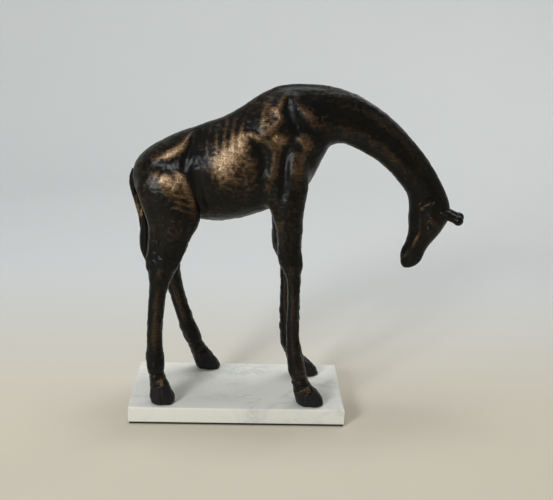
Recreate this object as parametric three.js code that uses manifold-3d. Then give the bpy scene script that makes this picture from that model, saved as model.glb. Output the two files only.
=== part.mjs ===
// A standing giraffe statue: a patinated bronze-finish casting on a marble slab.
// Millimetres, +Z up. The giraffe faces +X and its left side is +Y.
// The origin is the centre of the pad's underside.
// The casting is built as a foundry builds it: hollow torso and neck, with the head,
// legs and tail cast apart, sleeved into each other on spigots and held by cross pins.
import * as THREE from 'three';
import { mergeVertices } from 'three/addons/utils/BufferGeometryUtils.js';
import Module from 'manifold-3d';

const wasm = await Module();
wasm.setup();

// ---------------------------------------------------------------- driving dimensions
const GAP = 0.3; // clearance between neighbouring pieces

const SLAB_LENGTH = 230;
const SLAB_WIDTH = 120;
const SLAB_THICKNESS = 17;
const SLAB_EDGE = 1.2; // eased edge
const PAD_THICKNESS = 2;
const PAD_INSET = 1;
const SLAB_BOTTOM = PAD_THICKNESS;
const SLAB_TOP = SLAB_BOTTOM + SLAB_THICKNESS;
const SOLE = SLAB_TOP + GAP;

const STUD_RADIUS = 2; // M4
const STUD_INTO_HOOF = 9;
const STUD_HOLE_RADIUS = 2.5;
const COUNTERBORE_RADIUS = 7.5;
const COUNTERBORE_DEPTH = 7;
const WASHER_RADIUS = 6;
const WASHER_THICKNESS = 1;
const NUT_RADIUS = 4.04; // across corners
const NUT_HEIGHT = 3.2;

const TORSO_WALL = 5;
const NECK_WALL = 4.5;
const PIN_RADIUS = 1.5;
const PIN_SINK = 1.6; // depth of a pin's end below the surface
const PLUG_RADIUS = 6;
const PLUG_X = -12;

// ---------------------------------------------------------------- outlines
// The body is one run of rings from the rump to the lips. Each ring is given by the point
// on its back, the point opposite on its underside, its half width, and how much wider
// its lower half is than its upper half.
const BODY = [
  { back: [-114, 264], under: [-114, 254], half: 5, low: 0 },
  { back: [-110, 273], under: [-112, 244], half: 15, low: 0 },
  { back: [-100, 284], under: [-106, 233], half: 24, low: 0 },
  { back: [-85, 294], under: [-92, 226], half: 30, low: 0 },
  { back: [-64, 304], under: [-72, 221], half: 33, low: 0.05 },
  { back: [-43, 312.5], under: [-50, 213], half: 34, low: 0.12 },
  { back: [-23, 319], under: [-28, 211], half: 36, low: 0.16 },
  { back: [-3, 330], under: [-6, 213], half: 36.5, low: 0.2 },
  { back: [18, 345], under: [16, 219], half: 35.5, low: 0.24 },
  { back: [38, 354.3], under: [38, 227], half: 32.5, low: 0.22 },
  { back: [58, 356], under: [62, 239], half: 29.5, low: 0.16 },
  { back: [75, 356], under: [78, 264], half: 26, low: 0.08 },
  { back: [90, 354], under: [90.5, 292], half: 22, low: 0.05 },
  { back: [113, 348], under: [104, 295.5], half: 19, low: 0 },
  { back: [131, 339], under: [117, 291], half: 17.3, low: 0 },
  { back: [150, 326.5], under: [130, 284.5], half: 16, low: 0 },
  { back: [168, 311], under: [143, 277], half: 15, low: 0 },
  { back: [184, 294], under: [155, 267], half: 14.2, low: 0 },
  { back: [197.5, 278], under: [164.5, 257], half: 13.6, low: 0 },
  { back: [208.5, 261], under: [171.8, 248], half: 13.2, low: 0 },
  { back: [217.5, 245], under: [177, 239], half: 13.6, low: 0 },
  { back: [222.5, 230], under: [178.8, 228], half: 14.2, low: 0 },
  { back: [221.5, 218], under: [178.8, 217], half: 14.6, low: -0.06 },
  { back: [216.5, 206.5], under: [180, 206], half: 13.6, low: -0.08 },
  { back: [210.5, 197.5], under: [179.5, 196.5], half: 11.2, low: -0.06 },
  { back: [204, 189], under: [177, 188], half: 9, low: 0 },
  { back: [199, 179], under: [173.5, 180], half: 7.9, low: 0 },
  { back: [196.3, 171], under: [173.3, 171], half: 7.8, low: 0 },
  { back: [191.5, 165.3], under: [174.8, 164.4], half: 6.4, low: 0 },
  { back: [186, 162.2], under: [178, 160.8], half: 3.2, low: 0 },
];
const CAVITY_FROM = 3;
const CAVITY_TO = 11;
const NECK_RING = 12;
const HEAD_RING = 19;
const LAST_RING = BODY.length - 1;

// A leg is a run of level rings, from inside the torso down to the sole.
const HIND_LEG = [
  { z: 278, rear: -92, front: -60, half: 6 },
  { z: 252, rear: -109, front: -45, half: 14.5 },
  { z: 232, rear: -104, front: -42, half: 15.5 },
  { z: 214, rear: -96.5, front: -41.5, half: 14.5 },
  { z: 198, rear: -95, front: -50.5, half: 13.5 },
  { z: 180, rear: -97, front: -57.5, half: 12.3 },
  { z: 166, rear: -97, front: -64, half: 11.2 },
  { z: 155, rear: -94.5, front: -70, half: 10 },
  { z: 138, rear: -94.5, front: -76, half: 8.8 },
  { z: 110, rear: -96.4, front: -79.5, half: 7.8 },
  { z: 80, rear: -96.6, front: -79.5, half: 8 },
  { z: 62, rear: -97.4, front: -77, half: 9.4 },
  { z: 51, rear: -95, front: -78, half: 8.4 },
  { z: 43, rear: -93.5, front: -74, half: 9.2 },
  { z: 33, rear: -93.5, front: -69.5, half: 10.5 },
  { z: 25, rear: -94, front: -66, half: 11.2 },
  { z: SOLE, rear: -92.5, front: -66.5, half: 10.8 },
];
const FRONT_LEG = [
  { z: 308, rear: 40, front: 60, half: 6 },
  { z: 276, rear: 29, front: 70, half: 13.5 },
  { z: 245, rear: 26, front: 69, half: 14 },
  { z: 224, rear: 31.5, front: 65, half: 13.6 },
  { z: 209, rear: 37, front: 65, half: 13 },
  { z: 192, rear: 38.5, front: 64, half: 12 },
  { z: 180, rear: 39, front: 65.5, half: 11.4 },
  { z: 171, rear: 42, front: 65.5, half: 10.6 },
  { z: 162, rear: 47.5, front: 65, half: 9 },
  { z: 149, rear: 50.5, front: 64.5, half: 7.6 },
  { z: 97, rear: 50.5, front: 64.5, half: 7.4 },
  { z: 80, rear: 52, front: 68, half: 8 },
  { z: 58, rear: 53, front: 73, half: 9.8 },
  { z: 46, rear: 58, front: 75.5, half: 8.6 },
  { z: 35, rear: 60, front: 86, half: 10.2 },
  { z: 26, rear: 61.5, front: 92.5, half: 11.2 },
  { z: SOLE, rear: 66, front: 94, half: 11 },
];
// How each leg stands. Each point is a height, then how far the leg steps from the outline
// above, its sideways place, and how much fuller it is front and rear.
const STANCES = {
  front_left: {
    outline: FRONT_LEG,
    points: [
      [308, 0, 20, 0],
      [276, 0, 23, 0],
      [165, -5.5, 28, 0],
      [55, -5, 31.5, 0],
      [SOLE, -1, 33, 1],
    ],
  },
  front_right: {
    outline: FRONT_LEG,
    points: [[308, 0, -20, 0], [276, 0, -23, 0], [SOLE, 0, -46, 0]],
  },
  hind_left: {
    outline: HIND_LEG,
    points: [[278, 0, 20, 0], [165, 0.5, 33, 0.5], [93, 23.7, 41, 0.8], [SOLE, 45.5, 48, 1]],
  },
  hind_right: {
    outline: HIND_LEG,
    points: [[278, 0, -20, 0], [SOLE, 0, -46, 0]],
  },
};
const LEG_SEAM = 4; // the level where a leg is sleeved into the torso
const SPIGOT_HEIGHT = 17;
const SPIGOT_DRAFT = 0.92; // top over bottom

const TAIL = [
  { z: 264, rear: -114.5, front: -109, half: 3.2 },
  { z: 252, rear: -118, front: -109.5, half: 4 },
  { z: 240, rear: -116, front: -109, half: 3.6 },
  { z: 229, rear: -113, front: -105, half: 4 },
  { z: 213, rear: -108.5, front: -98, half: 5 },
  { z: 200, rear: -107, front: -93.5, half: 6 },
  { z: 188, rear: -108, front: -94, half: 6 },
  { z: 176, rear: -107, front: -96, half: 5 },
  { z: 167, rear: -103.5, front: -97.5, half: 3 },
  { z: 162.5, rear: -101, front: -98.5, half: 1.2 },
];

// The head is turned a little to the giraffe's right. The ears and horns are placed on the
// straight head first, and turn with it.
const HEAD_TURN = THREE.MathUtils.degToRad(-15);
const TURN_FROM = 14;
const TURN_TO = 20;
const HEAD_AXIS = new THREE.Vector3(200, 0, 0);
const EAR = { root: [206, 12, 241], tip: [190, 20, 233], width: 8, thickness: 3.4 };
const OSSICONE = { root: [213, 6, 226], knob: [232.2, 7.6, 219], stem: 4.2, knobRadius: 5 };

// ---------------------------------------------------------------- solids
function asSolid(geometry) {
  const bare = geometry.clone();
  bare.deleteAttribute('normal');
  bare.deleteAttribute('uv');
  const merged = mergeVertices(bare, 1e-4);
  return new wasm.Manifold(new wasm.Mesh({
    numProp: 3,
    vertProperties: new Float32Array(merged.attributes.position.array),
    triVerts: new Uint32Array(merged.index.array),
  }));
}

function asGeometry(solid) {
  const mesh = solid.getMesh();
  const geometry = new THREE.BufferGeometry();
  geometry.setAttribute('position', new THREE.BufferAttribute(mesh.vertProperties, 3));
  geometry.setIndex(new THREE.BufferAttribute(mesh.triVerts, 1));
  geometry.computeVertexNormals();
  return geometry;
}

function sideways(turn) {
  return new THREE.Vector3(-Math.sin(turn), Math.cos(turn), 0);
}

// A skin drawn through rings. Each ring has two opposite points, a and b, its half width,
// its low value and its turn about Z. The skin is a cylinder whose every point is moved to its
// place on the smooth run of rings; grow moves the whole skin out, or in when negative.
function loft(rings, { from = 0, to = rings.length - 1, sides = 24, steps, grow = 0 }) {
  const run = (pick) => new THREE.CatmullRomCurve3(rings.map(pick), false, 'centripetal');
  const runA = run((ring) => ring.a);
  const runB = run((ring) => ring.b);
  const sizes = run((ring) => new THREE.Vector3(ring.half, ring.low ?? 0, ring.turn ?? 0));
  const skin = new THREE.CylinderGeometry(1, 1, 1, sides, steps);
  const place = skin.attributes.position;
  for (let i = 0; i < place.count; i += 1) {
    const along = THREE.MathUtils.lerp(from, to, 0.5 - place.getY(i)) / (rings.length - 1);
    const a = runA.getPoint(along);
    const b = runB.getPoint(along);
    const size = sizes.getPoint(along);
    const middle = a.clone().add(b).multiplyScalar(0.5);
    const arm = a.clone().sub(b).multiplyScalar(0.5);
    const depth = arm.length();
    arm.multiplyScalar(place.getZ(i) * (depth + grow) / depth);
    const width = (size.x + grow) * (1 - size.y * place.getZ(i));
    const point = middle.add(arm).addScaledVector(sideways(size.z), place.getX(i) * width);
    place.setXYZ(i, point.x, point.y, point.z);
  }
  return asSolid(skin);
}

// An elliptical post standing on a ring: it starts at foot, points along way, and its
// section is wide along across and long along the third direction.
function post(foot, way, length, long, wide, { draft = 1, sides = 18, turn = 0 } = {}) {
  const cylinder = new THREE.CylinderGeometry(draft, 1, length, sides);
  cylinder.translate(0, length / 2, 0);
  const along = way.clone().normalize();
  const across = sideways(turn);
  const third = new THREE.Vector3().crossVectors(along, across);
  const basis = new THREE.Matrix4();
  basis.makeBasis(third.multiplyScalar(long), along, across.multiplyScalar(wide));
  cylinder.applyMatrix4(basis.setPosition(foot));
  return asSolid(cylinder);
}

function crossPin(centre, turn, length, radius) {
  const cylinder = new THREE.CylinderGeometry(radius, radius, length, 10);
  return asSolid(cylinder.rotateZ(turn).translate(centre.x, centre.y, centre.z));
}

function upright(x, y, bottom, top, radius, sides = 20) {
  const cylinder = new THREE.CylinderGeometry(radius, radius, top - bottom, sides);
  cylinder.rotateX(Math.PI / 2);
  return asSolid(cylinder.translate(x, y, (top + bottom) / 2));
}

// ---------------------------------------------------------------- rings from the outlines
const bodyRings = BODY.map(({ back, under, half, low }, index) => {
  const a = new THREE.Vector3(back[0], 0, back[1]);
  const b = new THREE.Vector3(under[0], 0, under[1]);
  const turn = HEAD_TURN * THREE.MathUtils.smoothstep(index, TURN_FROM, TURN_TO);
  const middle = a.clone().add(b).multiplyScalar(0.5);
  const arm = a.sub(middle).applyAxisAngle(new THREE.Vector3(0, 0, 1), turn);
  return { a: middle.clone().add(arm), b: middle.clone().sub(arm), half, low, turn };
});

function levelRing({ z, rear, front, half }, stepX = 0, y = 0, fuller = 0) {
  return {
    a: new THREE.Vector3(front + stepX + fuller, y, z),
    b: new THREE.Vector3(rear + stepX - fuller, y, z),
    half,
  };
}

function stanceAt(points, z) {
  let next = points.findIndex((point) => point[0] <= z);
  if (next === -1) next = points.length - 1;
  const below = points[Math.max(next, 1)];
  const above = points[Math.max(next, 1) - 1];
  const share = THREE.MathUtils.clamp((above[0] - z) / (above[0] - below[0]), 0, 1);
  return [1, 2, 3].map((k) => THREE.MathUtils.lerp(above[k], below[k], share));
}

const legs = Object.entries(STANCES).map(([name, { outline, points }]) => {
  const rings = outline.map((level) => levelRing(level, ...stanceAt(points, level.z)));
  const middle = (ring) => ring.a.clone().add(ring.b).multiplyScalar(0.5);
  return {
    name,
    rings,
    sole: middle(rings[rings.length - 1]),
    hoof: middle(rings[rings.length - 3]),
    socket: middle(rings[LEG_SEAM]),
    depth: rings[LEG_SEAM].a.distanceTo(rings[LEG_SEAM].b) / 2,
    half: rings[LEG_SEAM].half,
  };
});

// A leg's stud stands under the middle of its hoof, over solid metal.
function studPlace(leg) {
  return new THREE.Vector3((leg.sole.x + leg.hoof.x) / 2, leg.sole.y, 0);
}

// The plane of a body ring, with its direction back towards the rump.
function seamAt(index) {
  const { a, b, half, turn } = bodyRings[index];
  const arm = a.clone().sub(b);
  return {
    middle: a.clone().add(b).multiplyScalar(0.5),
    backwards: new THREE.Vector3().crossVectors(arm, sideways(turn)).normalize(),
    depth: arm.length() / 2,
    half,
    turn,
  };
}

function spacingAfter(rings, index) {
  const next = rings[index + 1];
  const here = rings[index];
  return (here.a.distanceTo(next.a) + here.b.distanceTo(next.b)) / 2;
}

// ---------------------------------------------------------------- the giraffe's pieces
const neckSeam = seamAt(NECK_RING);
const headSeam = seamAt(HEAD_RING);
const UP = new THREE.Vector3(0, 0, 1);
const NECK_SPIGOT = { length: 15, shoulder: 8 };
const HEAD_SPIGOT = { length: 13, shoulder: 6 };
const LEG_SHOULDER = 5;

function seamPost(seam, { length, shoulder }, grow, from = 0) {
  const foot = seam.middle.clone().addScaledVector(seam.backwards, from);
  const long = seam.depth - shoulder + grow;
  const wide = seam.half - shoulder + grow;
  return post(foot, seam.backwards, length, long, wide, { turn: seam.turn });
}

function legPost(leg, grow, from = 0) {
  const foot = leg.socket.clone().addScaledVector(UP, from);
  const long = leg.depth - LEG_SHOULDER + grow;
  const wide = leg.half - LEG_SHOULDER + grow;
  const height = SPIGOT_HEIGHT - from + Math.max(grow, 0);
  return post(foot, UP, height, long, wide, { draft: SPIGOT_DRAFT });
}

function legPin({ socket, half }) {
  return { centre: socket.clone().addScaledVector(UP, SPIGOT_HEIGHT / 2), half, turn: 0 };
}

function seamPin({ middle, backwards, half, turn }, { length }) {
  return { centre: middle.clone().addScaledVector(backwards, length / 2), half, turn };
}

function pin({ centre, half, turn }) {
  return crossPin(centre, turn, 2 * (half - PIN_SINK), PIN_RADIUS);
}

function pinHole({ centre, half, turn }) {
  return crossPin(centre, turn, 2 * (half + 5), PIN_RADIUS + GAP);
}

function tail(grow = 0) {
  return loft(TAIL.map((level) => levelRing(level)), { sides: 10, steps: 14, grow });
}

// A point on the turned head, given on the left of the straight head.
function onHead([x, y, z], side) {
  const point = new THREE.Vector3(x, y * side, z).sub(HEAD_AXIS);
  return point.applyAxisAngle(UP, HEAD_TURN).add(HEAD_AXIS);
}

// A leaf-shaped ear: a flattened ball, fuller near the root.
function ear(side, grow = 0) {
  const root = onHead(EAR.root, side);
  const reach = onHead(EAR.tip, side).sub(root);
  const leaf = new THREE.SphereGeometry(1, 12, 9);
  const place = leaf.attributes.position;
  for (let i = 0; i < place.count; i += 1) {
    const taper = 1 - 0.35 * place.getY(i);
    place.setX(i, place.getX(i) * taper);
    place.setZ(i, place.getZ(i) * taper);
  }
  const along = reach.clone().normalize();
  const flat = new THREE.Vector3().crossVectors(along, new THREE.Vector3(0, 1, 0)).normalize();
  const thin = new THREE.Vector3().crossVectors(flat, along);
  const basis = new THREE.Matrix4().makeBasis(
    flat.multiplyScalar(EAR.width / 2 + grow),
    along.multiplyScalar(reach.length() / 2 + grow),
    thin.multiplyScalar(EAR.thickness / 2 + grow),
  );
  leaf.applyMatrix4(basis.setPosition(root.addScaledVector(reach, 0.5)));
  return asSolid(leaf);
}

// A horn: a short stem that swells into a round knob.
function ossicone(side, grow = 0) {
  const root = onHead(OSSICONE.root, side);
  const reach = onHead(OSSICONE.knob, side).sub(root);
  const length = reach.length();
  const stem = OSSICONE.stem + grow;
  const knob = OSSICONE.knobRadius + grow;
  const outline = [
    new THREE.Vector2(0, -grow),
    new THREE.Vector2(stem * 1.2, -grow),
    new THREE.Vector2(stem, length * 0.55),
  ];
  for (let k = 0; k <= 6; k += 1) {
    const angle = THREE.MathUtils.lerp(-0.7, Math.PI / 2, k / 6);
    const radius = k === 6 ? 0 : knob * Math.cos(angle);
    outline.push(new THREE.Vector2(radius, length + knob * Math.sin(angle)));
  }
  const horn = new THREE.LatheGeometry(outline, 12);
  const axis = new THREE.Vector3(0, 1, 0);
  horn.applyQuaternion(new THREE.Quaternion().setFromUnitVectors(axis, reach.normalize()));
  return asSolid(horn.translate(root.x, root.y, root.z));
}

const SIDES = [['left', 1], ['right', -1]];

const cavity = loft(bodyRings, {
  from: CAVITY_FROM,
  to: CAVITY_TO,
  sides: 18,
  steps: 10,
  grow: -TORSO_WALL,
});

function torsoSkin() {
  return loft(bodyRings, { from: 0, to: NECK_RING, sides: 28, steps: 20 });
}

function bellyCore(radius) {
  return upright(PLUG_X, 0, 180, 240, radius);
}

function torso() {
  let casting = torsoSkin();
  for (const leg of legs) {
    casting = casting.add(loft(leg.rings, { from: 0, to: LEG_SEAM, sides: 16, steps: 7 }));
  }
  casting = casting.subtract(cavity);
  casting = casting.subtract(seamPost(neckSeam, { ...NECK_SPIGOT, length: 24 }, GAP, -2));
  casting = casting.subtract(pinHole(seamPin(neckSeam, NECK_SPIGOT)));
  for (const leg of legs) {
    casting = casting.subtract(legPost(leg, GAP, -2)).subtract(pinHole(legPin(leg)));
  }
  return casting.subtract(tail(GAP)).subtract(bellyCore(PLUG_RADIUS));
}

function bellyPlug() {
  return torsoSkin().subtract(cavity).intersect(bellyCore(PLUG_RADIUS - GAP));
}

function neck() {
  const start = NECK_RING + GAP / spacingAfter(bodyRings, NECK_RING);
  const outer = loft(bodyRings, { from: start, to: HEAD_RING, sides: 24, steps: 12 });
  const coreSpan = { from: NECK_RING + 0.5, to: HEAD_RING - 0.7 };
  const core = loft(bodyRings, { ...coreSpan, sides: 16, steps: 7, grow: -NECK_WALL });
  const spigot = seamPost(neckSeam, { ...NECK_SPIGOT, length: NECK_SPIGOT.length + 4 }, 0, -4);
  const bore = seamPost(neckSeam, { length: 45, shoulder: NECK_SPIGOT.shoulder + NECK_WALL }, 0, -16);
  const headSocket = seamPost(headSeam, { ...HEAD_SPIGOT, length: HEAD_SPIGOT.length + 4 }, GAP, -2);
  return outer.add(spigot).subtract(core).subtract(bore).subtract(headSocket)
    .subtract(pinHole(seamPin(neckSeam, NECK_SPIGOT)))
    .subtract(pinHole(seamPin(headSeam, HEAD_SPIGOT)));
}

function head() {
  const start = HEAD_RING + GAP / spacingAfter(bodyRings, HEAD_RING);
  let casting = loft(bodyRings, { from: start, to: LAST_RING, sides: 24, steps: 18 });
  casting = casting.add(seamPost(headSeam, { ...HEAD_SPIGOT, length: HEAD_SPIGOT.length + 3 }, 0, -3));
  for (const [, side] of SIDES) {
    casting = casting.subtract(ear(side, GAP)).subtract(ossicone(side, GAP));
  }
  return casting.subtract(pinHole(seamPin(headSeam, HEAD_SPIGOT)));
}

function legCasting(leg) {
  const start = LEG_SEAM + GAP / spacingAfter(leg.rings, LEG_SEAM);
  const outer = loft(leg.rings, { from: start, to: leg.rings.length - 1, sides: 16, steps: 18 });
  const stud = studPlace(leg);
  return outer.add(legPost(leg, 0, -3)).subtract(pinHole(legPin(leg)))
    .subtract(upright(stud.x, stud.y, SOLE - 2, SOLE + STUD_INTO_HOOF + GAP, STUD_RADIUS + GAP, 12));
}

// ---------------------------------------------------------------- the base's pieces
function plate(length, width, bottom, thickness, edge) {
  const outline = new THREE.Shape();
  const x = length / 2 - edge;
  const y = width / 2 - edge;
  outline.moveTo(-x, -y).lineTo(x, -y).lineTo(x, y).lineTo(-x, y).closePath();
  const flat = new THREE.ExtrudeGeometry(outline, {
    depth: thickness - 2 * edge,
    bevelEnabled: edge > 0,
    bevelThickness: edge,
    bevelSize: edge,
    bevelSegments: 2,
  });
  return asSolid(flat.translate(0, 0, bottom + edge));
}

function pad() {
  return plate(SLAB_LENGTH - 2 * PAD_INSET, SLAB_WIDTH - 2 * PAD_INSET, 0, PAD_THICKNESS, 0);
}

function slab() {
  let stone = plate(SLAB_LENGTH, SLAB_WIDTH, SLAB_BOTTOM, SLAB_THICKNESS, SLAB_EDGE);
  for (const leg of legs) {
    const { x, y } = studPlace(leg);
    stone = stone.subtract(upright(x, y, SLAB_BOTTOM - 1, SLAB_TOP + 1, STUD_HOLE_RADIUS, 12))
      .subtract(upright(x, y, SLAB_BOTTOM - 1, SLAB_BOTTOM + COUNTERBORE_DEPTH, COUNTERBORE_RADIUS, 16));
  }
  return stone;
}

const WASHER_TOP = SLAB_BOTTOM + COUNTERBORE_DEPTH - GAP;
const NUT_TOP = WASHER_TOP - WASHER_THICKNESS - GAP;
const STUD_BOTTOM = NUT_TOP - NUT_HEIGHT - 1;

function studAt({ x, y }) {
  return upright(x, y, STUD_BOTTOM, SOLE + STUD_INTO_HOOF, STUD_RADIUS, 12);
}

function ringOf({ x, y }, top, thickness, radius, sides) {
  const disc = upright(x, y, top - thickness, top, radius, sides);
  return disc.subtract(upright(x, y, top - thickness - 1, top + 1, STUD_RADIUS + GAP, 12));
}

// ---------------------------------------------------------------- materials
function paint(color, roughness, metalness) {
  return () => new THREE.MeshStandardMaterial({ color, roughness, metalness });
}

const bronze = paint('#2c261c', 0.42, 0.75);
const marble = paint('#d6d6cf', 0.3, 0);
const rubberPad = paint('#121212', 0.95, 0);
const steel = paint('#8d8f92', 0.4, 0.9);

// ---------------------------------------------------------------- assembly
const statue = new THREE.Group();
statue.name = 'giraffe_statue';

function include(name, solid, material) {
  const mesh = new THREE.Mesh(asGeometry(solid), material);
  mesh.name = name;
  statue.add(mesh);
}

include('marble_base', slab(), marble());
include('base_pad', pad(), rubberPad());
include('torso', torso(), bronze());
include('belly_plug', bellyPlug(), bronze());
include('neck', neck(), bronze());
include('head', head(), bronze());
include('tail', tail(), bronze());
for (const [name, side] of SIDES) {
  include(`ear_${name}`, ear(side), bronze());
  include(`ossicone_${name}`, ossicone(side), bronze());
}
for (const leg of legs) {
  const place = studPlace(leg);
  const washer = ringOf(place, WASHER_TOP, WASHER_THICKNESS, WASHER_RADIUS, 16);
  include(`leg_${leg.name}`, legCasting(leg), bronze());
  include(`pin_${leg.name}`, pin(legPin(leg)), steel());
  include(`stud_${leg.name}`, studAt(place), steel());
  include(`washer_${leg.name}`, washer, steel());
  include(`nut_${leg.name}`, ringOf(place, NUT_TOP, NUT_HEIGHT, NUT_RADIUS, 6), steel());
}
include('pin_neck', pin(seamPin(neckSeam, NECK_SPIGOT)), steel());
include('pin_head', pin(seamPin(headSeam, HEAD_SPIGOT)), steel());

export default statue;
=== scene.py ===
"""Looks of the giraffe statue: the castings are sculpted over the CAD model, in one field.

Sculpting is done in millimetres in the row frame, and the meshes are written in metres.
The CAD castings are fused into one skin. Muscles, bones, folds and hoofs are pressed into
the distance field of that skin, and the surface is cut apart again at the CAD seams.
"""
import math

import bmesh
import bpy
import numpy as np
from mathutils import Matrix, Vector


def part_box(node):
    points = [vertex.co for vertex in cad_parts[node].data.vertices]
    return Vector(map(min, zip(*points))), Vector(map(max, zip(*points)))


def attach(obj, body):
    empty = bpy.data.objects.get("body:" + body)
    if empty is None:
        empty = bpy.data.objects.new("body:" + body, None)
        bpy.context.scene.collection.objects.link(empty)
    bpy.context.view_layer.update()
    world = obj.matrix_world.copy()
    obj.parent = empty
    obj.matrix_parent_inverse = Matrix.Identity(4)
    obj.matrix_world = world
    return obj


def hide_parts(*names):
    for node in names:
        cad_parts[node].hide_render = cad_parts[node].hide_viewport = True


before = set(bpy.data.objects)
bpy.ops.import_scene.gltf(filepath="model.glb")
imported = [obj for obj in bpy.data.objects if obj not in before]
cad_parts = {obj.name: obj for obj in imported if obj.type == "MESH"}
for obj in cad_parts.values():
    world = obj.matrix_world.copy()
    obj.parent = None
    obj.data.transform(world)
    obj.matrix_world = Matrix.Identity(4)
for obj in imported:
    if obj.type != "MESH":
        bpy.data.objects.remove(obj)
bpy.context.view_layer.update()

import openvdb as vdb
from mathutils import Matrix, Vector

MM = 0.001
SEED = 7
LEGS = ("front_left", "front_right", "hind_left", "hind_right")
SIDES = {"left": 1.0, "right": -1.0}
PIN_SINK = 1.5  # how far a pin's ends lie under the skin
MARGIN = 8.0  # the room round the castings in a field
BAND = 9.0  # how far from the skin the distances are kept
STROKE_REACH = 2.3  # how far a stroke is felt, in its radii
RUB_WIDENED = 1.0  # how much wider a stroke's rub is than its shape
SAME_POINT = 0.002  # points closer than this are merged
HOOF_RISE = {"front": 17, "hind": 21}  # the coronet's height above the sole
HOOF_SLOPE = 0.16  # how much the coronet climbs toward the toe
SKIN_NODES = ["torso", "belly_plug", "neck", "head"] + ["leg_" + leg for leg in LEGS]
UP = np.array([0.0, 0.0, 1.0])


# ------------------------------------------------------------------ the frame, in millimetres
def cad_mesh(node):
    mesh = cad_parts[node].data
    mesh.calc_loop_triangles()
    points = np.empty(len(mesh.vertices) * 3, np.float32)
    mesh.vertices.foreach_get("co", points)
    triangles = np.empty(len(mesh.loop_triangles) * 3, np.int32)
    mesh.loop_triangles.foreach_get("vertices", triangles)
    return points.reshape(-1, 3) / MM, triangles.reshape(-1, 3)


def box(node):
    low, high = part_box(node)
    return np.array(low) / MM, np.array(high) / MM


def centre(node):
    low, high = box(node)
    return (low + high) / 2


def long_way(node, toward):
    """The middle of a long node, its long direction and half its length."""
    points, _ = cad_mesh(node)
    middle = points.mean(0)
    along = np.linalg.svd(points - middle, full_matrices=False)[2][0]
    along = along * np.sign(along @ toward)
    return middle, along, np.ptp((points - middle) @ along) / 2


def extent():
    """The corners of a box round all the CAD nodes."""
    corners = [box(node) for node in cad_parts]
    return np.min([low for low, _ in corners], axis=0), np.max([high for _, high in corners], axis=0)


def flat_end(node, toward):
    """The largest flat face of a node that looks toward a direction: its middle, its normal
    and half its height."""
    points, triangles = cad_mesh(node)
    toward = np.array(toward) / np.linalg.norm(toward)
    corners = points[triangles].astype(float)
    normals = np.cross(corners[:, 1] - corners[:, 0], corners[:, 2] - corners[:, 0])
    areas = np.linalg.norm(normals, axis=1) / 2
    normals /= np.maximum(2 * areas[:, None], 1e-9)
    middles = corners.mean(1)
    facing = np.flatnonzero(normals @ toward > 0.9)
    best = (0.0, None, None, None)
    for i in facing:
        level = (middles[facing] - middles[i]) @ normals[i]
        same = facing[(np.abs(level) < 0.05) & (normals[facing] @ normals[i] > 0.9995)]
        area = areas[same].sum()
        if area > best[0]:
            middle = (middles[same] * areas[same, None]).sum(0) / area
            half = np.ptp(corners[same].reshape(-1, 3)[:, [0, 2]], axis=0)
            best = (area, middle, normals[i], np.linalg.norm(half) / 2)
    return best[1:]


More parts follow.
